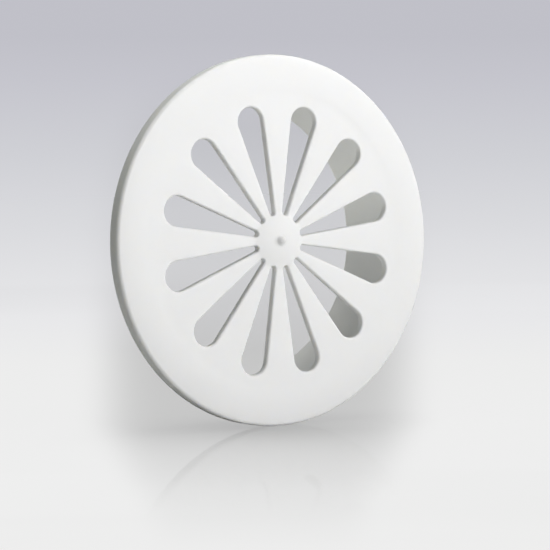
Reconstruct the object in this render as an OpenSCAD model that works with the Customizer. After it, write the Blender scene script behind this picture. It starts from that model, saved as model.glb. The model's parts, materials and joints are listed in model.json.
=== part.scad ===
// Round vent cover for a 100 mm duct: a slotted face with a raised rim, moulded in one piece
// with the spigot that pushes into the duct.
// The moulding is drawn lying face up, with its axis on Z and the wall at Z = 0, and is then
// turned so that the face looks along -Y, the spigot points along +Y and +Z is up.

/* [Rim] */
// Outer diameter of the cover
flange_d = 125; // [118:1:150]
// Height of the slotted face above the wall
face_h = 5.2; // [4.6:0.1:8]
// Thickness of the slotted face
face_t = 2.4; // [1.6:0.1:3]
// Thickness of the rim's side wall
skirt_t = 1.8; // [1.2:0.1:3]
// Radius of the rim's front edge
edge_round = 1.4; // [0.6:0.1:2]

/* [Raised ring] */
// Distance from the rim's outside in to the ring's highest line
crest_in = 9.1; // [8:0.1:10.5]
// Height of that line above the slotted face
crest_h = 0.24; // [0.1:0.02:0.4]
// Radius of the ring's section outside the crest
crown_r = 54; // [30:1:80]
// Radius of the ring's section inside the crest
shoulder_r = 28; // [16:1:34]
// Radius of the hollow where the ring runs into the slotted face
foot_r = 30; // [16:1:34]

/* [Slots] */
// Number of slots
slot_count = 12; // [6:1:12]
// Distance from the axis to a slot's wide end
slot_reach = 46.2; // [40:0.1:46.8]
// Width of a slot's wide end
slot_w = 10.1; // [7:0.1:11]
// Distance from the axis to a slot's narrow end
slot_start = 8.75; // [8.5:0.05:12]
// Width of a slot's narrow end
slot_tip_w = 2.1; // [1.2:0.1:2.4]
// Radius of the slots' front edges
slot_round = 0.65; // [0.2:0.05:0.8]

/* [Hub] */
// Diameter of the domed hub
hub_d = 19; // [16:0.5:22]
// Height of the dome above the slotted face
hub_h = 1.4; // [0.8:0.1:2.4]
// Diameter of the moulding gate's stub on the dome
gate_d = 2.6; // [1:0.1:4]
// Height of the stub above the dome
gate_h = 0.7; // [0.3:0.1:1.2]

/* [Spigot] */
// Outer diameter of the spigot, an easy push into a 100 mm duct
spigot_d = 99; // [98:0.5:100]
// Thickness of the spigot's wall
spigot_t = 1.3; // [1:0.1:1.6]
// Length of the spigot behind the wall's surface
spigot_l = 22.8; // [12:0.2:45]
// Length of the tapered lead at the spigot's end
lead_l = 1.6; // [0.6:0.1:3]
// Depth of that taper
lead_t = 0.5; // [0.2:0.05:0.6]
// Radius in the corners where the walls meet the face
root_round = 0.8; // [0.3:0.1:1.1]

/* [Hidden] */

// Overrun of the cuts past a face
over = 1;
// Straight steps that stand for one arc
arc_steps = 6;
// Angle of each of the three facets that round a slot's front edge
facet = 30;
// How far the last of those facets runs on above the face
skim = 0.05;
// How far a slot's straight sides lie inside its round ends, so that the two cross where they meet
bite = 0.02;
$fn = 96;

flange_r = flange_d / 2;
crest_r = flange_r - crest_in;
hub_r = hub_d / 2;
gate_r = gate_d / 2;
gate_round = min(gate_r / 2, gate_h);
spigot_r = spigot_d / 2;
bore_r = spigot_r - spigot_t;
skirt_r = flange_r - skirt_t;
back_h = face_h - face_t;

// The outside edge: its arc touches the crown's arc and the side wall
edge_x = flange_r - edge_round;
edge_lean = asin((edge_x - crest_r) / (crown_r - edge_round));
edge_z = face_h + crest_h - crown_r + (crown_r - edge_round) * cos(edge_lean);

// The ring's inner slope: its shoulder arc and its foot arc touch each other
slope_r = shoulder_r + foot_r;
slope_lean = acos((slope_r - crest_h) / slope_r);
foot_x = crest_r - slope_r * sin(slope_lean);

// The dome's arc passes through the hub's edge and its top
dome_r = (pow(hub_r, 2) + pow(hub_h, 2)) / (2 * hub_h);
dome_top = face_h + hub_h;

// The teardrop slot: two round ends and the two lines that touch both
wide_r = slot_w / 2;
tip_r = slot_tip_w / 2;
wide_x = slot_reach - wide_r;
tip_x = slot_start + tip_r;
flank_lean = asin((wide_r - tip_r) / (wide_x - tip_x));
flank_l = (wide_x - tip_x) * cos(flank_lean);

// Points along an arc, the angles taken anticlockwise from the first axis
function arc(centre, r, from, to, steps = arc_steps) =
    [for (i = [0 : steps]) let (a = from + (to - from) * i / steps) centre + r * [cos(a), sin(a)]];

// The gate's stub: a low button with a round edge
function gate_points() = concat(
    [[0, dome_top + gate_h]],
    arc([gate_r - gate_round, dome_top + gate_h - gate_round], gate_round, 90, 0, 3)
);

// Half of the moulding's section: over the front from the axis to the rim, and back along the rear
function section() = concat(
    gate_points(),
    arc([0, dome_top - dome_r], dome_r, 90 - asin(gate_r / dome_r), 90 - asin(hub_r / dome_r)),
    arc([foot_x, face_h + foot_r], foot_r, -90, slope_lean - 90),
    arc([crest_r, face_h + crest_h - shoulder_r], shoulder_r, 90 + slope_lean, 90),
    arc([crest_r, face_h + crest_h - crown_r], crown_r, 90, 90 - edge_lean, 2 * arc_steps),
    arc([edge_x, edge_z], edge_round, 90 - edge_lean, 0),
    [[flange_r, 0], [skirt_r, 0]],
    arc([skirt_r - root_round, back_h - root_round], root_round, 0, 90),
    arc([spigot_r + root_round, back_h - root_round], root_round, 90, 180),
    [[spigot_r, lead_l - spigot_l], [spigot_r - lead_t, -spigot_l], [bore_r, -spigot_l]],
    arc([bore_r - root_round, back_h - root_round], root_round, 0, 90),
    [[0, back_h]]
);

// A slot's cut in section, from its middle line out to a wall at r, flared round at the front
function cut_section(r) =
    let (lip = r + slot_round + skim / tan(facet / 2))
    concat(
        [[0, back_h - over], [r, back_h - over]],
        arc([r + slot_round, face_h - slot_round], slot_round, 180, 180 - 2 * facet, 2),
        [[lip, face_h + skim], [lip, dome_top + over], [0, dome_top + over]]
    );

// A round end of the slot
module slot_end(x, r) {
    translate([x, 0, 0])
        rotate_extrude()
            polygon(cut_section(r));
}

// A straight side of the slot, along the line that touches both ends
module slot_flank() {
    translate([tip_x, 0, 0])
        rotate([0, 0, 90 + flank_lean])
            rotate([90, 0, 0])
                linear_extrude(flank_l)
                    polygon(cut_section(tip_r - bite));
}

// The middle of the slot, which reaches into both sides
module slot_core() {
    out = [-sin(flank_lean), cos(flank_lean)];
    wide = [wide_x, 0] + (wide_r - tip_r / 2) * out;
    tip = [tip_x, 0] + tip_r / 2 * out;
    translate([0, 0, back_h - over])
        linear_extrude(dome_top + over - (back_h - over))
            polygon([wide, tip, [tip.x, -tip.y], [wide.x, -wide.y]]);
}

module slot() {
    slot_end(wide_x, wide_r);
    slot_end(tip_x, tip_r);
    slot_flank();
    mirror([0, 1, 0])
        slot_flank();
    slot_core();
}

module vent_cover() {
    color("white")
        rotate([90, 0, 0])
            difference() {
                rotate_extrude()
                    polygon(section());
                for (i = [0 : slot_count - 1])
                    rotate([0, 0, (i + 0.5) * 360 / slot_count])
                        slot();
            }
}

vent_cover();
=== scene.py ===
import json
import math

import bmesh
import bpy
import numpy as np
from mathutils import Matrix, Vector


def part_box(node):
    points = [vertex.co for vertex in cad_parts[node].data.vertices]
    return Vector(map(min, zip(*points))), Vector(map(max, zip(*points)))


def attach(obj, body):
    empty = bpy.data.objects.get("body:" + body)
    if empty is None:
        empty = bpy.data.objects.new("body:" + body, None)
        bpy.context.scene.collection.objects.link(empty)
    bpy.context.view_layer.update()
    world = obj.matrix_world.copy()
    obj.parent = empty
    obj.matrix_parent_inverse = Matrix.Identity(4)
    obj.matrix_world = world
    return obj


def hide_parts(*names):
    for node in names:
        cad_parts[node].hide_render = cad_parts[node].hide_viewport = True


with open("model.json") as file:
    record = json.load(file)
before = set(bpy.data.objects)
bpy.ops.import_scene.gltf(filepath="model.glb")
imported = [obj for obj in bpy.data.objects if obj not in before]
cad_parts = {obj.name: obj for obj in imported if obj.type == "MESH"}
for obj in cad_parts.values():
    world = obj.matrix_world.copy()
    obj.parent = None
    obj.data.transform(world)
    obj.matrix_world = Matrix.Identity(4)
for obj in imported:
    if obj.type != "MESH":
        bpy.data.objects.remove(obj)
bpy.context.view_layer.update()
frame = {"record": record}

coverLow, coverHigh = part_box("vent_cover")
record = frame["record"]
spigotMount = next(m for m in record["mounts"] if m["name"] == "spigot")
print("frame loaded, cover box", [round(v, 4) for v in (*coverLow, *coverHigh)])

# Lengths are metres. The moulding's own axes: x right, y up on the face, z out of the wall.
coverShape = {
    "rimRadius": (coverHigh.x - coverLow.x) / 2,
    "spigotRadius": spigotMount["dims"]["r_mm"] / 1000,
    "spigotEnd": coverHigh.y,
    "gateTop": -coverLow.y,
    "faceHeight": 0.0052,        # slotted face above the wall
    "faceThickness": 0.0024,
    "skirtThickness": 0.0018,
    "spigotThickness": 0.0013,
    "edgeRound": 0.0014,         # the rim's front edge
    "crestRadius": 0.0534,       # the raised ring's highest line
    "crestHeight": 0.00024,
    "crownRound": 0.054,         # section radii of the ring, from outside to inside
    "shoulderRound": 0.028,
    "footRound": 0.030,
    "rootRound": 0.0008,         # inside corners
    "backRound": 0.0002,         # free edges at the back
    "leadLength": 0.0016,
    "leadDepth": 0.0005,
}

slotShape = {
    "count": 12,
    "reach": 0.0462,             # wide end, from the axis
    "wideWidth": 0.0101,
    "start": 0.00875,            # narrow end, from the axis
    "tipWidth": 0.0021,
    "frontRound": 0.00065,
    "backRound": 0.00012,
}

hubShape = {
    "radius": 0.0095,
    "height": 0.0014,            # dome above the slotted face
    "footBlend": 0.00012,        # softness of the line where the dome meets the face
    "seamRadius": 0.0074,        # circle where the dome's mesh meets the slots' mesh
    "gateRadius": 0.0007,        # the moulding gate's stub
    "gateRound": 0.0004,
    "gateFoot": 0.0006,
    "gateSlope": 30,             # degrees: the steepest part of its side
}

meshSteps = {
    "hubPerHalf": 6,             # divisions of half a slot's sector on the hub's circle
    "rimPerHalf": 12,            # the same on the rim's circle
    "spokeFine": 0.00025,        # spacing along a spoke beside the hub
    "spokeFineEnd": 0.0108,
    "spokeRows": 26,
    "spokeCrowding": 1.8,        # power that draws those rows together towards the rim
    "holdBack": 0.00012,         # rows that keep a flat face flat up to a rounded edge
    "shortRun": 0.00048,         # straight runs up to this length have none
    "samePoint": 1e-9,
    "weldDistance": 2e-6,
    "shortestEdge": 1e-7,
    # degrees between the points of an arc
    "edgeStep": 9,
    "ringStep": 1,
    "cornerStep": 15,
    "backStep": 30,
    "gateStep": 14,
    "domePoints": 15,            # from the seam to the gate's stub
    # points on a slot's exact outline: its narrow end, its wide end and its side
    "tipPoints": 400,
    "widePoints": 800,
    "sidePoints": 598,
    # loops round a slot, as shares of the way in to its front edge, and out from its back edge
    "frontShares": (0, 0.14, 0.3, 0.48, 0.66, 0.82, 0.93, 0.98),
    "backShares": (0.04, 0.35, 0.7, 1),
    # loops on those two rounded edges
    "frontTurns": 6,
    "backTurns": 3,
    "hubBackShares": (1, 0.7, 0.4, 0.1, 0),     # circles on the hub's back, of its seam's radius
}

# Where the loops round a slot meet its outline, in distances from the axis.
outlinePlaces = {
    "tipTurn": 0.00017,          # on from the narrow end: the part that belongs to the hub's circle
    "wideTurn": 0.0022,          # back from the wide end: the part that belongs to the rim's circle
    "hubInside": 0.0003,         # inside the hub's edge on the spoke, and its partner on the outline
    "hubOutline": 0.0002,
    "level": 0.036,              # the same on the spoke and on the outline
}


# Points at equal angles on a circle, from start to end in degrees.
def arcPath(centre, radius, start, end, step):
    count = max(2, math.ceil(abs(end - start) / step))
    angle = np.radians(np.linspace(start, end, count + 1))
    return np.asarray(centre) + radius * np.stack([np.cos(angle), np.sin(angle)], 1)


# One path from several, with a point close to each end of every longer straight run between them.
def joinPath(parts):
    out = [np.atleast_2d(parts[0])]
    for part in parts[1:]:
        part = np.atleast_2d(part)
        a, b = out[-1][-1], part[0]
        gap = np.linalg.norm(b - a)
        if gap > meshSteps["shortRun"]:
            lean = (b - a) / gap * meshSteps["holdBack"]
            out.append(np.stack([a + lean, b - lean]))
        out.append(part if gap > meshSteps["samePoint"] else part[1:])
    return np.concatenate(out)


# Height of the dome's sphere above the slotted face: below zero outside the hub.
def domeHeight(r):
    ball = (hubShape["radius"] ** 2 + hubShape["height"] ** 2) / (2 * hubShape["height"])
    return hubShape["height"] - ball + np.sqrt(np.maximum(ball ** 2 - r ** 2, 0))


# Face level plus the larger of the dome and zero, the two blended by a square root.
def frontHeight(r):
    dome = domeHeight(r)
    lift = (dome + np.sqrt(dome ** 2 + hubShape["footBlend"] ** 2)) / 2
    fade = np.clip((r - hubShape["radius"]) / hubShape["radius"], 0, 1)
    return coverShape["faceHeight"] + lift * (1 - fade) ** 2


# The section from the ring's foot over the rim, round the back and up inside the spigot.
def rimPath():
    s = coverShape
    face, back = s["faceHeight"], s["faceHeight"] - s["faceThickness"]
    slope = s["shoulderRound"] + s["footRound"]
    slopeLean = math.degrees(math.acos((slope - s["crestHeight"]) / slope))
    footX = s["crestRadius"] - slope * math.sin(math.radians(slopeLean))
    edgeX = s["rimRadius"] - s["edgeRound"]
    crownLess = s["crownRound"] - s["edgeRound"]
    edgeLean = math.degrees(math.asin((edgeX - s["crestRadius"]) / crownLess))
    crest = face + s["crestHeight"]
    edgeZ = crest - s["crownRound"] + crownLess * math.cos(math.radians(edgeLean))
    skirt = s["rimRadius"] - s["skirtThickness"]
    spigot = s["spigotRadius"]
    bore = spigot - s["spigotThickness"]
    end, lead = -s["spigotEnd"], s["leadLength"] - s["spigotEnd"]
    root, tiny = s["rootRound"], s["backRound"]
    tip = spigot - s["leadDepth"]
    ringStep, cornerStep, backStep = [meshSteps[key] for key in ("ringStep", "cornerStep", "backStep")]
    return joinPath([
        arcPath((footX, face + s["footRound"]), s["footRound"], -90, slopeLean - 90, ringStep),
        arcPath((s["crestRadius"], crest - s["shoulderRound"]), s["shoulderRound"],
                90 + slopeLean, 90, ringStep),
        arcPath((s["crestRadius"], crest - s["crownRound"]), s["crownRound"],
                90, 90 - edgeLean, ringStep),
        arcPath((edgeX, edgeZ), s["edgeRound"], 90 - edgeLean, 0, meshSteps["edgeStep"]),
        arcPath((s["rimRadius"] - tiny, tiny), tiny, 0, -90, backStep),
        arcPath((skirt + tiny, tiny), tiny, -90, -180, backStep),
        arcPath((skirt - root, back - root), root, 0, 90, cornerStep),
        arcPath((spigot + root, back - root), root, 90, 180, cornerStep),
        [(spigot, lead)],
        arcPath((tip - tiny, end + tiny), tiny, 0, -90, backStep),
        arcPath((bore + tiny, end + tiny), tiny, -90, -180, backStep),
        arcPath((bore - root, back - root), root, 0, 90, cornerStep),
    ])


# The section of the hub: over the dome to the gate's stub, up its side in a hollow and a round arc
# that the same slope joins, and over its flat top.
def hubPath():
    gate, foot, edge = hubShape["gateRadius"], hubShape["gateFoot"], hubShape["gateRound"]
    slope = math.radians(hubShape["gateSlope"])
    top = coverShape["gateTop"]
    # the straight part makes up what the two arcs leave of the stub's height
    rise = top - frontHeight(np.array([gate]))[0] - (foot + edge) * (1 - math.cos(slope))
    run = rise / math.tan(slope)
    inner = gate - edge * math.sin(slope)
    outer = gate + run + foot * math.sin(slope)
    r = np.linspace(hubShape["seamRadius"], outer, meshSteps["domePoints"])
    dome = np.stack([r, frontHeight(r)], 1)
    lean, step = hubShape["gateSlope"], meshSteps["gateStep"]
    return joinPath([
        dome,
        arcPath((outer, dome[-1, 1] + foot), foot, -90, -90 - lean, step),
        arcPath((inner, top - edge), edge, 90 - lean, 90, step),
        [(0.0, top)],
    ])


# The grid of a path turned round the axis: one row per path point, count points in each row.
def turnPath(path, count):
    angle = np.arange(count) * 2 * np.pi / count
    r, z = path[:, 0][:, None], path[:, 1][:, None]
    return np.stack([r * np.cos(angle), r * np.sin(angle), z + 0 * angle], -1)


# Points of half a teardrop at given distances from the axis, and the directions out of the slot.
# The outline is the narrow end's circle, the line that touches both circles, then the wide end's.
def slotOutline(rho):
    wide, tip = slotShape["wideWidth"] / 2, slotShape["tipWidth"] / 2
    wideX, tipX = slotShape["reach"] - wide, slotShape["start"] + tip
    lean = math.asin((wide - tip) / (wideX - tipX))
    tipCount, wideCount, sideCount = [meshSteps[key] for key in ("tipPoints", "widePoints", "sidePoints")]
    turn = np.concatenate([np.linspace(np.pi, np.pi / 2 + lean, tipCount),
                           np.linspace(np.pi / 2 + lean, 0, wideCount)])
    onTip = np.arange(len(turn)) < tipCount
    out = np.stack([np.cos(turn), np.sin(turn)], 1)
    points = out * np.where(onTip, tip, wide)[:, None]
    points[:, 0] += np.where(onTip, tipX, wideX)
    # the side is straight, so points along it are blended from its two ends
    share = np.linspace(0, 1, sideCount + 2)[1:-1, None]
    a, b = points[tipCount - 1], points[tipCount]
    points = np.concatenate([points[:tipCount], a + (b - a) * share, points[tipCount:]])
    out = np.concatenate([out[:tipCount], np.repeat(out[tipCount:tipCount + 1], sideCount, 0),
                          out[tipCount:]])
    away = np.hypot(points[:, 0], points[:, 1])
    points = np.stack([np.interp(rho, away, points[:, i]) for i in (0, 1)], 1)
    out = np.stack([np.interp(rho, away, out[:, i]) for i in (0, 1)], 1)
    return points, out / np.linalg.norm(out, axis=1, keepdims=True)


# A closed loop from the half above the slot's middle line: the half and its mirror image.
def bothHalves(half):
    mirrored = half[-2:0:-1].copy()
    mirrored[:, 1] *= -1
    return np.concatenate([half, mirrored])


# The loop round one slot's sector: hub circle, spoke's middle line, rim circle.
# Also gives, for each point, how far from the axis its partner on the slot's outline lies.
def sectorLoop(rimCircle):
    half = math.pi / slotShape["count"]
    steps, places = meshSteps, outlinePlaces
    seam = hubShape["seamRadius"]
    hubU = np.arange(steps["hubPerHalf"]) / steps["hubPerHalf"]
    rimU = np.arange(1, steps["rimPerHalf"] + 1) / steps["rimPerHalf"]
    fineEnd = steps["spokeFineEnd"]
    fine = np.arange(seam, fineEnd, steps["spokeFine"])
    u = np.arange(steps["spokeRows"] + 1) / steps["spokeRows"]
    coarse = fineEnd + (rimCircle - fineEnd) * (1 - (1 - u) ** steps["spokeCrowding"])
    spoke = np.concatenate([fine, coarse])
    r = np.concatenate([0 * hubU + seam, spoke, 0 * rimU + rimCircle])
    angle = np.concatenate([hubU * half, 0 * spoke + half, (1 - rimU) * half])
    # between the two ends a point and its partner are about equally far from the axis
    start, reach, hub = slotShape["start"], slotShape["reach"], hubShape["radius"]
    turnIn, turnOut, level = start + places["tipTurn"], reach - places["wideTurn"], places["level"]
    rhoSpoke = np.interp(spoke, [seam, hub - places["hubInside"], hub, level, rimCircle],
                         [turnIn, hub - places["hubOutline"], hub, level, turnOut])
    rho = np.concatenate([start + (turnIn - start) * hubU ** 2, rhoSpoke,
                          reach - (reach - turnOut) * (1 - rimU) ** 2])
    return np.stack([r * np.cos(angle), r * np.sin(angle)], 1), rho


# The skin round one slot, as a grid of loops: in over the front from the sector's edge,
# down round the slot's front edge, through the face, and out over the back to the sector's edge.
def slotCell(rimCircle, backCircle):
    front, rho = sectorLoop(rimCircle)
    back, rhoBack = sectorLoop(backCircle)
    outline, out = slotOutline(rho)
    outlineBack, outBack = slotOutline(rhoBack)
    edge, tiny = slotShape["frontRound"], slotShape["backRound"]
    level = coverShape["faceHeight"] - coverShape["faceThickness"]
    loops = []

    def add(flat, height):
        flat = bothHalves(flat)
        loops.append(np.column_stack([flat, np.broadcast_to(height, len(flat))]))

    def mirroredHeight(flat):
        return frontHeight(np.linalg.norm(bothHalves(flat), axis=1))

    lip = outline + edge * out
    for t in meshSteps["frontShares"]:
        flat = front + (lip - front) * t
        add(flat, mirroredHeight(flat))
    for turn in np.radians(np.linspace(0, 90, meshSteps["frontTurns"])):
        flat = outline + edge * (1 - math.sin(turn)) * out
        add(flat, mirroredHeight(lip) - edge * (1 - math.cos(turn)))
    add(outline, mirroredHeight(lip) - edge - meshSteps["holdBack"])
    add(outlineBack, level + tiny + meshSteps["holdBack"])
    for turn in np.radians(np.linspace(0, 90, meshSteps["backTurns"])):
        add(outlineBack + tiny * (1 - math.cos(turn)) * outBack, level + tiny * (1 - math.sin(turn)))
    lipBack = outlineBack + tiny * outBack
    for t in meshSteps["backShares"]:
        add(lipBack + (back - lipBack) * t, level)
    return np.stack(loops)


# Quads between neighbouring rows of a grid whose rows close on themselves.
def gridFaces(rows, columns, first):
    i, j = np.meshgrid(np.arange(rows - 1), np.arange(columns), indexing="ij")
    k = (j + 1) % columns
    quads = np.stack([i * columns + j, i * columns + k, (i + 1) * columns + k, (i + 1) * columns + j], -1)
    return quads.reshape(-1, 4) + first


# The whole skin: hub, twelve slot cells, rim with spigot, and the back of the hub, welded.
def coverMesh():
    rim, hub = rimPath(), hubPath()
    rimCount = slotShape["count"] * 2 * meshSteps["rimPerHalf"]
    hubCount = slotShape["count"] * 2 * meshSteps["hubPerHalf"]
    level = coverShape["faceHeight"] - coverShape["faceThickness"]
    backHub = np.array([(hubShape["seamRadius"] * t, level) for t in meshSteps["hubBackShares"]])
    grids = [turnPath(rim, rimCount), turnPath(hub, hubCount), turnPath(backHub, hubCount)]
    cell = slotCell(rim[0, 0], rim[-1, 0])
    for n in range(slotShape["count"]):
        a = (n + 0.5) * 2 * math.pi / slotShape["count"]
        turn = np.array([[math.cos(a), math.sin(a), 0], [-math.sin(a), math.cos(a), 0], [0, 0, 1]])
        grids.append(cell @ turn)
    points = np.concatenate([g.reshape(-1, 3) for g in grids])
    starts = np.cumsum([0] + [g.shape[0] * g.shape[1] for g in grids])
    faces = np.concatenate([gridFaces(g.shape[0], g.shape[1], s) for g, s in zip(grids, starts)])
    # face up on z becomes face towards -Y
    points = np.stack([points[:, 0], -points[:, 2], points[:, 1]], 1)
    mesh = bpy.data.meshes.new("slottedCover")
    mesh.from_pydata(points.tolist(), [], faces.tolist())
    shell = bmesh.new()
    shell.from_mesh(mesh)
    bmesh.ops.remove_doubles(shell, verts=shell.verts, dist=meshSteps["weldDistance"])
    bmesh.ops.dissolve_degenerate(shell, edges=shell.edges, dist=meshSteps["shortestEdge"])
    bmesh.ops.recalc_face_normals(shell, faces=shell.faces)
    openEdges = sum(1 for e in shell.edges if len(e.link_faces) != 2)
    shell.to_mesh(mesh)
    print("cover mesh:", len(shell.faces), "faces,", openEdges, "open edges, volume",
          round(shell.calc_volume(signed=True) * 1e9), "mm3")
    shell.free()
    mesh.polygons.foreach_set("use_smooth", np.ones(len(mesh.polygons), bool))
    return mesh


# An empty shader node group with named sockets.
def newGroup(name, inputs, outputs):
    group = bpy.data.node_groups.new(name, "ShaderNodeTree")
    for label, kind in inputs:
        group.interface.new_socket(name=label, in_out="INPUT", socket_type=kind)
    for label, kind in outputs:
        group.interface.new_socket(name=label, in_out="OUTPUT", socket_type=kind)
    return group, group.nodes.new("NodeGroupInput"), group.nodes.new("NodeGroupOutput")


# A node with its properties and, where a key is an input's name or number, its values set.
def addNode(tree, kind, **settings):
    node = tree.nodes.new(kind)
    for key, value in settings.pop("values", {}).items():
        node.inputs[key].default_value = value
    for key, value in settings.items():
        setattr(node, key, value)
    return node


skinLook = {
    "grainDetail": 3.0,
    "grainRoughness": 0.6,
    "driftScale": 30.0,          # patches per metre
    "driftDetail": 2.0,
    "driftRoughness": 0.5,
    "driftMiddle": 0.5,          # the noise's mean
}


# Fine grain of a moulded surface and a slow drift of its tone, both from noise on given points.
def makeMouldedSkin():
    look = skinLook
    group, start, end = newGroup(
        "mouldedSkin",
        [("Vector", "NodeSocketVector"), ("Grain Scale", "NodeSocketFloat"),
         ("Drift Amount", "NodeSocketFloat")],
        [("Height", "NodeSocketFloat"), ("Tone", "NodeSocketFloat"), ("Patch", "NodeSocketFloat")])
    link = group.links.new
    grain = addNode(group, "ShaderNodeTexNoise", values={
        "Detail": look["grainDetail"], "Roughness": look["grainRoughness"]})
    drift = addNode(group, "ShaderNodeTexNoise", values={
        "Scale": look["driftScale"], "Detail": look["driftDetail"], "Roughness": look["driftRoughness"]})
    link(start.outputs["Vector"], grain.inputs["Vector"])
    link(start.outputs["Grain Scale"], grain.inputs["Scale"])
    link(start.outputs["Vector"], drift.inputs["Vector"])
    centred = addNode(group, "ShaderNodeMath", operation="SUBTRACT", values={1: look["driftMiddle"]})
    scaled = addNode(group, "ShaderNodeMath", operation="MULTIPLY_ADD", values={2: 1.0})
    link(drift.outputs["Fac"], centred.inputs[0])
    link(centred.outputs[0], scaled.inputs[0])
    link(start.outputs["Drift Amount"], scaled.inputs[1])
    link(grain.outputs["Fac"], end.inputs["Height"])
    link(scaled.outputs[0], end.inputs["Tone"])
    link(drift.outputs["Fac"], end.inputs["Patch"])
    return group


plasticLook = {
    "colour": (0.871, 0.867, 0.878),
    "roughness": 0.55,
    "roughnessSpread": 0.07,
    "grainScale": 2200.0,        # bumps per metre
    "grainDepth": 0.00001,
    "driftAmount": 0.02,
    "ior": 1.5,
    "subsurface": 1.0,
    "subsurfaceDepth": 0.0014,
    "subsurfaceTint": (1.0, 0.98, 0.93),
    # painted shade round the moulding gate's stub on the dome, which also dulls the stub's highlight
    "gateShadePlace": (-0.0005, -0.0068, -0.0001),
    "gateShadeReach": (0.0032, 0.0030, 0.0024),
    "gateShadeFull": 0.1,             # share of the reach within which it is at its darkest
    "gateShadeDepth": 0.27,
}


# A soft spot of painted shade on given points: 1 in its middle and 0 from the reach on, smooth between
# the two.
def makePaintedGateShade():
    look = plasticLook
    group, start, end = newGroup("paintedGateShade", [("Vector", "NodeSocketVector")],
                                 [("Mask", "NodeSocketFloat")])
    link = group.links.new
    offset = addNode(group, "ShaderNodeVectorMath", operation="SUBTRACT", values={1: look["gateShadePlace"]})
    share = addNode(group, "ShaderNodeVectorMath", operation="DIVIDE", values={1: look["gateShadeReach"]})
    away = addNode(group, "ShaderNodeVectorMath", operation="LENGTH")
    soft = addNode(group, "ShaderNodeMapRange", interpolation_type="SMOOTHSTEP",
                   values={"From Min": 1.0, "From Max": look["gateShadeFull"]})
    link(start.outputs["Vector"], offset.inputs[0])
    link(offset.outputs["Vector"], share.inputs[0])
    link(share.outputs["Vector"], away.inputs[0])
    link(away.outputs["Value"], soft.inputs["Value"])
    link(soft.outputs["Result"], end.inputs["Mask"])
    return group


# Satin injection-moulded white plastic that lets a little light through its thin walls.
def makeWhitePlastic(skin, paintedGateShade):
    look = plasticLook
    material = bpy.data.materials.new("satinWhitePlastic")
    material.use_nodes = True
    tree = material.node_tree
    tree.nodes.clear()
    link = tree.links.new
    out = tree.nodes.new("ShaderNodeOutputMaterial")
    body = addNode(tree, "ShaderNodeBsdfPrincipled", values={
        "IOR": look["ior"], "Subsurface Weight": look["subsurface"],
        "Subsurface Radius": look["subsurfaceTint"], "Subsurface Scale": look["subsurfaceDepth"]})
    where = tree.nodes.new("ShaderNodeTexCoord")
    effect = addNode(tree, "ShaderNodeGroup", node_tree=skin)
    effect.inputs["Grain Scale"].default_value = look["grainScale"]
    effect.inputs["Drift Amount"].default_value = look["driftAmount"]
    link(where.outputs["Object"], effect.inputs["Vector"])
    tint = addNode(tree, "ShaderNodeVectorMath", operation="SCALE", values={0: look["colour"]})
    # the gate's painted shade darkens the base colour round the stub and dulls its highlight
    gateShade = addNode(tree, "ShaderNodeGroup", node_tree=paintedGateShade)
    link(where.outputs["Object"], gateShade.inputs["Vector"])
    gateShadeKept = addNode(tree, "ShaderNodeMath", operation="MULTIPLY_ADD",
                     values={1: -look["gateShadeDepth"], 2: 1.0})
    link(gateShade.outputs["Mask"], gateShadeKept.inputs[0])
    tone = addNode(tree, "ShaderNodeMath", operation="MULTIPLY")
    link(effect.outputs["Tone"], tone.inputs[0])
    link(gateShadeKept.outputs[0], tone.inputs[1])
    link(tone.outputs[0], tint.inputs["Scale"])
    link(tint.outputs["Vector"], body.inputs["Base Color"])
    gloss = addNode(tree, "ShaderNodeMapRange", values={
        "To Min": look["roughness"] - look["roughnessSpread"],
        "To Max": look["roughness"] + look["roughnessSpread"]})
    link(effect.outputs["Patch"], gloss.inputs["Value"])
    link(gloss.outputs["Result"], body.inputs["Roughness"])
    bump = addNode(tree, "ShaderNodeBump", values={"Distance": look["grainDepth"], "Strength": 1.0})
    link(effect.outputs["Height"], bump.inputs["Height"])
    link(bump.outputs["Normal"], body.inputs["Normal"])
    link(body.outputs["BSDF"], out.inputs["Surface"])
    return material


cameraLook = {
    "place": (-0.4058, -0.6030, 0.0166),
    "aim": (-0.0016, -0.0046, -0.0115),
    "roll": -0.85,               # degrees
    "focalPixels": 2149,
    "imagePixels": 550,
    "sensorWidth": 36,           # millimetres
    "clip": (0.05, 100),
}


# The camera's axes as a matrix's columns: right, up and backwards.
def cameraAxes():
    view = Vector(cameraLook["aim"]) - Vector(cameraLook["place"])
    roll = Matrix.Rotation(math.radians(cameraLook["roll"]), 3, "Z")
    return view.to_track_quat("-Z", "Y").to_matrix() @ roll


# The photograph's view: from the left of the face, almost level.
def addCamera():
    look = cameraLook
    data = bpy.data.cameras.new("photoCamera")
    data.sensor_width = look["sensorWidth"]
    data.lens = data.sensor_width * look["focalPixels"] / look["imagePixels"]
    data.clip_start, data.clip_end = look["clip"]
    camera = bpy.data.objects.new("photoCamera", data)
    camera.location = look["place"]
    camera.rotation_mode = "QUATERNION"
    camera.rotation_quaternion = cameraAxes().to_quaternion()
    bpy.context.scene.collection.objects.link(camera)
    bpy.context.scene.camera = camera


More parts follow.
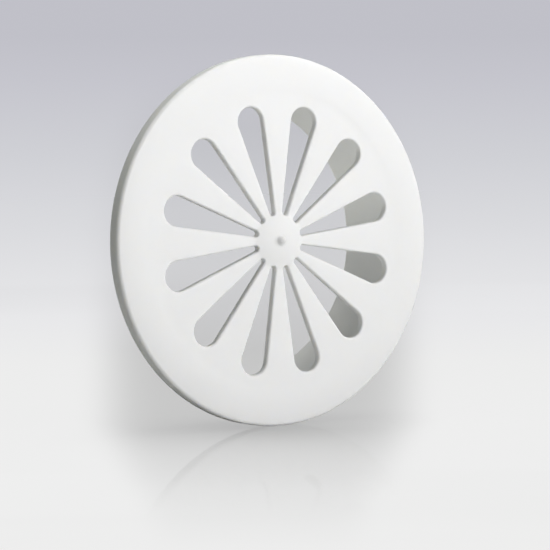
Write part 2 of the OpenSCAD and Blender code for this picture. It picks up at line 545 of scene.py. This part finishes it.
backdropLook = {
    # places are angles in degrees, counted up and to the right from the middle of the camera's view
    "tones": [(-3.4, (0.85, 0.85, 0.85)), (-2.3, (0.84, 0.84, 0.84)), (-1.2, (0.81, 0.81, 0.825)),
              (3.1, (0.63, 0.635, 0.67)), (5.2, (0.56, 0.56, 0.61)), (6.3, (0.53, 0.53, 0.58))],
    # what the bare floor has from the lamps and from its mirror image of the surroundings
    "floorLit": [(-6.7, 0.047), (-6.3, 0.055), (-5.9, 0.080), (-5.5, 0.105), (-5.2, 0.122), (-4.1, 0.125),
                 (-1.2, 0.122), (-1.0, 0.119), (-0.8, 0.106), (-0.5, 0.073), (-0.3, 0.046), (-0.2, 0.038),
                 (0.4, 0.028), (0.88, 0.018), (1.68, 0.009)],
    # a painted soft shadow round the cover's lower half, also seen behind it through the slots
    "shade": [(-7.2, 0.01), (-6.5, 0.05), (-5.7, 0.10), (-4.8, 0.20), (-4.1, 0.32), (-2.0, 0.33),
              (-1.2, 0.28), (0.2, 0.165), (1.7, 0.115), (3.9, 0.11), (4.9, 0.05), (5.9, 0.0)],
    "shadeCentre": (-0.453, 0.93),
    "shadeReach": (4.0, 5.07),
    "shadeWidth": [(-7.3, 0.66), (-6.0, 0.73), (-5.4, 0.83), (-4.8, 0.90), (-4.3, 0.95), (-3.9, 1.0)],
    "shadeHardness": 4.0,
    # a painted contact shadow: a darker spot where the rim touches the floor
    "contactShadeCentre": (-0.15, -4.08),
    "contactShadeReach": (1.9, 0.3),
    "contactShadeDepth": 0.15,
    "span": 7.5,                 # the ramps reach this far up and down
    "floorPaint": 0.07,          # as the camera sees it
    "floorBounce": 0.54,         # as other rays see it
    "floorDrift": 0.01,
    "floorMirror": 0.12,         # the mirror's share at a flat look
    "mirrorAngles": (8.6, 7.4),  # degrees above the floor at which it starts and is full
    "mirrorReach": (1.1, 0.7),   # distances from the cover at which it starts and is full
    "floorBlur": 0.012,
    "floorRadius": 60.0,
    "floorSides": 256,
    "mirrored": (0.85, 0.85, 0.86),     # what glossy surfaces see
    "skyFrom": (-0.3, 0.0, 0.954),
    "skyLow": 0.01,              # light from level with the floor and from the sky's brightest point
    "skyHigh": 0.195,
    "skyTint": (0.93, 1.0, 0.87),
}


# Colour stops at their places between 0 and 1.
def fillRamp(ramp, stops):
    band = ramp.color_ramp
    while len(band.elements) < len(stops):
        band.elements.new(0.5)
    for element, (place, colour) in zip(band.elements, stops):
        element.position = place
        element.color = (*colour, 1)


# The backdrop as painted for the camera's place, for a direction from there. Tone is a ramp over the
# angle up, times 1 - shade * exp(-e ** 8) for a painted soft shadow, where e is the distance from the
# shade's centre in shares of its reach, and the angle down from the centre doesn't count but narrows
# the shade. That is again times 1 - depth * exp(-e ** 2) for the painted contact shadow. Floor Lit is
# what the bare floor has without its glow.
def makePaintedBackdrop():
    look = backdropLook
    group, start, end = newGroup(
        "paintedBackdrop", [("Vector", "NodeSocketVector")],
        [("Tone", "NodeSocketColor"), ("Floor Lit", "NodeSocketFloat")])
    link = group.links.new
    right, up, _ = cameraAxes().transposed()
    size, centre, spotSize, spotCentre = [
        [math.sin(math.radians(v)) for v in look[key]]
        for key in ("shadeReach", "shadeCentre", "contactShadeReach", "contactShadeCentre")]
    span = math.sin(math.radians(look["span"]))
    unit = addNode(group, "ShaderNodeVectorMath", operation="NORMALIZE")
    link(start.outputs["Vector"], unit.inputs[0])
    across = addNode(group, "ShaderNodeVectorMath", operation="DOT_PRODUCT", values={1: right})
    above = addNode(group, "ShaderNodeVectorMath", operation="DOT_PRODUCT", values={1: up})
    link(unit.outputs["Vector"], across.inputs[0])
    link(unit.outputs["Vector"], above.inputs[0])
    place = addNode(group, "ShaderNodeMapRange", values={"From Min": -span, "From Max": span})
    link(above.outputs["Value"], place.inputs["Value"])

    # a colour or a plain value at each angle up
    def ramp(key):
        node = group.nodes.new("ShaderNodeValToRGB")
        stops = []
        for angle, tone in look[key]:
            colour = tone if isinstance(tone, tuple) else (tone,) * 3
            stops.append((math.sin(math.radians(angle)) / span / 2 + 0.5, colour))
        fillRamp(node, stops)
        node.label = key
        link(place.outputs["Result"], node.inputs["Fac"])
        return node.outputs["Color"]

    # a sum on sockets or plain numbers
    def combine(operation, a, b=None, c=None):
        node = addNode(group, "ShaderNodeMath", operation=operation)
        for i, value in enumerate((a, b, c)):
            if isinstance(value, (int, float)):
                node.inputs[i].default_value = value
            elif value is not None:
                link(value, node.inputs[i])
        return node.outputs[0]

    # distance from a centre in shares of a reach
    def shareOf(distance, centre, reach):
        return combine("MULTIPLY_ADD", distance.outputs["Value"], 1 / reach, -centre / reach)

    # 1 at zero, falling to 0
    def bell(square):
        return combine("EXPONENT", combine("MULTIPLY", square, -1.0))

    def squareSum(a, b):
        return combine("MULTIPLY_ADD", a, a, combine("MULTIPLY", b, b))

    tones, lit, amount, narrow = [ramp(key) for key in ("tones", "floorLit", "shade", "shadeWidth")]
    sideways = combine("DIVIDE", shareOf(across, centre[0], size[0]), narrow)
    upwards = combine("MAXIMUM", shareOf(above, centre[1], size[1]), 0.0)
    shade = bell(combine("POWER", squareSum(sideways, upwards), look["shadeHardness"]))
    # painted contact shadow where the rim meets the floor
    spot = bell(squareSum(shareOf(across, spotCentre[0], spotSize[0]),
                          shareOf(above, spotCentre[1], spotSize[1])))
    kept = combine("MULTIPLY", combine("SUBTRACT", 1.0, combine("MULTIPLY", shade, amount)),
                   combine("SUBTRACT", 1.0, combine("MULTIPLY", spot, look["contactShadeDepth"])))
    tone = addNode(group, "ShaderNodeVectorMath", operation="SCALE")
    link(tones, tone.inputs[0])
    link(kept, tone.inputs["Scale"])
    link(tone.outputs["Vector"], end.inputs["Tone"])
    link(lit, end.inputs["Floor Lit"])
    return group


# A pale floor under the rim's lowest point: its paint takes light and shadow, and a glow that
# only the camera sees makes up the rest of the backdrop's tone, painted shade included.
def makeFloor(skin, painted):
    look = backdropLook
    bpy.ops.mesh.primitive_circle_add(vertices=look["floorSides"], radius=look["floorRadius"],
                                      fill_type="NGON", location=(0, 0, coverLow.z))
    floor = bpy.context.object
    floor.name = "studioFloor"
    material = bpy.data.materials.new("paleFloor")
    material.use_nodes = True
    tree = material.node_tree
    tree.nodes.clear()
    link = tree.links.new
    out = tree.nodes.new("ShaderNodeOutputMaterial")
    where = tree.nodes.new("ShaderNodeTexCoord")
    fromCamera = addNode(tree, "ShaderNodeVectorMath", operation="SUBTRACT",
                         values={1: Vector(cameraLook["place"]) - Vector((0, 0, coverLow.z))})
    link(where.outputs["Object"], fromCamera.inputs[0])
    backdrop = addNode(tree, "ShaderNodeGroup", node_tree=painted)
    link(fromCamera.outputs["Vector"], backdrop.inputs["Vector"])
    missing = addNode(tree, "ShaderNodeVectorMath", operation="SUBTRACT")
    link(backdrop.outputs["Tone"], missing.inputs[0])
    link(backdrop.outputs["Floor Lit"], missing.inputs[1])
    effect = addNode(tree, "ShaderNodeGroup", node_tree=skin)
    effect.inputs["Drift Amount"].default_value = look["floorDrift"]
    link(where.outputs["Object"], effect.inputs["Vector"])
    rays = tree.nodes.new("ShaderNodeLightPath")
    albedo = addNode(tree, "ShaderNodeMapRange", values={
        "To Min": look["floorBounce"], "To Max": look["floorPaint"]})
    link(rays.outputs["Is Camera Ray"], albedo.inputs["Value"])
    paint = addNode(tree, "ShaderNodeVectorMath", operation="SCALE")
    link(albedo.outputs["Result"], paint.inputs[0])
    link(effect.outputs["Tone"], paint.inputs["Scale"])
    matt = tree.nodes.new("ShaderNodeBsdfDiffuse")
    link(paint.outputs["Vector"], matt.inputs["Color"])
    mirror = addNode(tree, "ShaderNodeBsdfGlossy", values={"Roughness": look["floorBlur"]})
    lit = tree.nodes.new("ShaderNodeMixShader")
    # only a flat look at the floor near the cover shows a mirror image
    view = tree.nodes.new("ShaderNodeLayerWeight")
    steep, flat = [1 - math.sin(math.radians(v)) for v in look["mirrorAngles"]]
    share = addNode(tree, "ShaderNodeMapRange", values={"From Min": steep, "From Max": flat})
    link(view.outputs["Facing"], share.inputs["Value"])
    distance = addNode(tree, "ShaderNodeVectorMath", operation="LENGTH")
    link(where.outputs["Object"], distance.inputs[0])
    far, near = look["mirrorReach"]
    strength = addNode(tree, "ShaderNodeMapRange", values={
        "From Min": far, "From Max": near, "To Max": look["floorMirror"]})
    link(distance.outputs["Value"], strength.inputs["Value"])
    link(strength.outputs["Result"], share.inputs["To Max"])
    link(share.outputs["Result"], lit.inputs["Fac"])
    link(matt.outputs["BSDF"], lit.inputs[1])
    link(mirror.outputs["BSDF"], lit.inputs[2])
    glow = tree.nodes.new("ShaderNodeEmission")
    link(missing.outputs["Vector"], glow.inputs["Color"])
    link(rays.outputs["Is Camera Ray"], glow.inputs["Strength"])
    both = tree.nodes.new("ShaderNodeAddShader")
    link(lit.outputs["Shader"], both.inputs[0])
    link(glow.outputs["Emission"], both.inputs[1])
    link(both.outputs["Shader"], out.inputs["Surface"])
    floor.data.materials.append(material)
    print("floor ready")


# The backdrop that the camera sees, a plain pale one for reflections, and a weak light from above.
def makeWorld(painted):
    look = backdropLook
    world = bpy.data.worlds.new("studioWorld")
    bpy.context.scene.world = world
    world.use_nodes = True
    tree = world.node_tree
    tree.nodes.clear()
    link = tree.links.new
    out = tree.nodes.new("ShaderNodeOutputWorld")
    where = tree.nodes.new("ShaderNodeTexCoord")
    above = addNode(tree, "ShaderNodeVectorMath", operation="DOT_PRODUCT", values={1: look["skyFrom"]})
    link(where.outputs["Generated"], above.inputs[0])
    backdrop = addNode(tree, "ShaderNodeGroup", node_tree=painted)
    link(where.outputs["Generated"], backdrop.inputs["Vector"])
    seen = tree.nodes.new("ShaderNodeBackground")
    link(backdrop.outputs["Tone"], seen.inputs["Color"])
    mirrored = addNode(tree, "ShaderNodeBackground", values={"Color": (*look["mirrored"], 1)})
    high = addNode(tree, "ShaderNodeMapRange", values={
        "To Min": look["skyLow"], "To Max": look["skyHigh"]})
    link(above.outputs["Value"], high.inputs["Value"])
    light = addNode(tree, "ShaderNodeBackground", values={"Color": (*look["skyTint"], 1)})
    link(high.outputs["Result"], light.inputs["Strength"])
    rays = tree.nodes.new("ShaderNodeLightPath")
    unlit = tree.nodes.new("ShaderNodeMixShader")
    link(rays.outputs["Is Glossy Ray"], unlit.inputs["Fac"])
    link(light.outputs["Background"], unlit.inputs[1])
    link(mirrored.outputs["Background"], unlit.inputs[2])
    blend = tree.nodes.new("ShaderNodeMixShader")
    link(rays.outputs["Is Camera Ray"], blend.inputs["Fac"])
    link(unlit.outputs["Shader"], blend.inputs[1])
    link(seen.outputs["Background"], blend.inputs[2])
    link(blend.outputs["Shader"], out.inputs["Surface"])
    print("backdrop ready")


lamps = {
    # a soft box in front, to the right and above, aimed over the cover so that its light fades downwards
    "key": {"place": (0.42, -1.0, 0.34), "aim": (0.04, 0, 0.34), "size": 0.9, "watts": 3.17, "spread": 60,
            "colour": (1.0, 1.0, 1.0)},
    # a broad one high above, for the ring's upper slope and the floor
    "top": {"place": (0.35, 0.1, 2.4), "aim": (0, 0, 0), "size": 1.4, "watts": 33.5, "spread": 180,
            "colour": (0.99, 1.0, 0.96)},
    # a small low one behind, which lights the spigot's inside through its open end
    "back": {"place": (-0.012, 0.25, -0.044), "aim": (0.03, 0.012, 0.015), "size": 0.03, "watts": 0.0054,
             "spread": 30, "colour": (0.98, 1.0, 0.92)},
}


# A square soft box that faces a point.
def addLamp(name, place, aim, size, watts, spread, colour):
    data = bpy.data.lights.new(name, "AREA")
    data.shape = "SQUARE"
    data.size = size
    data.energy = watts
    data.spread = math.radians(spread)
    data.color = colour
    lamp = bpy.data.objects.new(name, data)
    lamp.location = place
    lamp.visible_camera = False
    lamp.rotation_mode = "QUATERNION"
    lamp.rotation_quaternion = (Vector(place) - Vector(aim)).to_track_quat("Z", "Y")
    bpy.context.scene.collection.objects.link(lamp)


addCamera()
mouldedSkin = makeMouldedSkin()
whitePlastic = makeWhitePlastic(mouldedSkin, makePaintedGateShade())

cover = bpy.data.objects.new("slotted_cover", coverMesh())
bpy.context.scene.collection.objects.link(cover)
cover.data.materials.append(whitePlastic)
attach(cover, "root")
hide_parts("vent_cover")

backdropPaint = makePaintedBackdrop()
makeFloor(mouldedSkin, backdropPaint)
makeWorld(backdropPaint)
for lampName, lamp in lamps.items():
    addLamp(lampName, **lamp)
bpy.context.scene.view_settings.view_transform = "Standard"
print("lamps and camera ready")
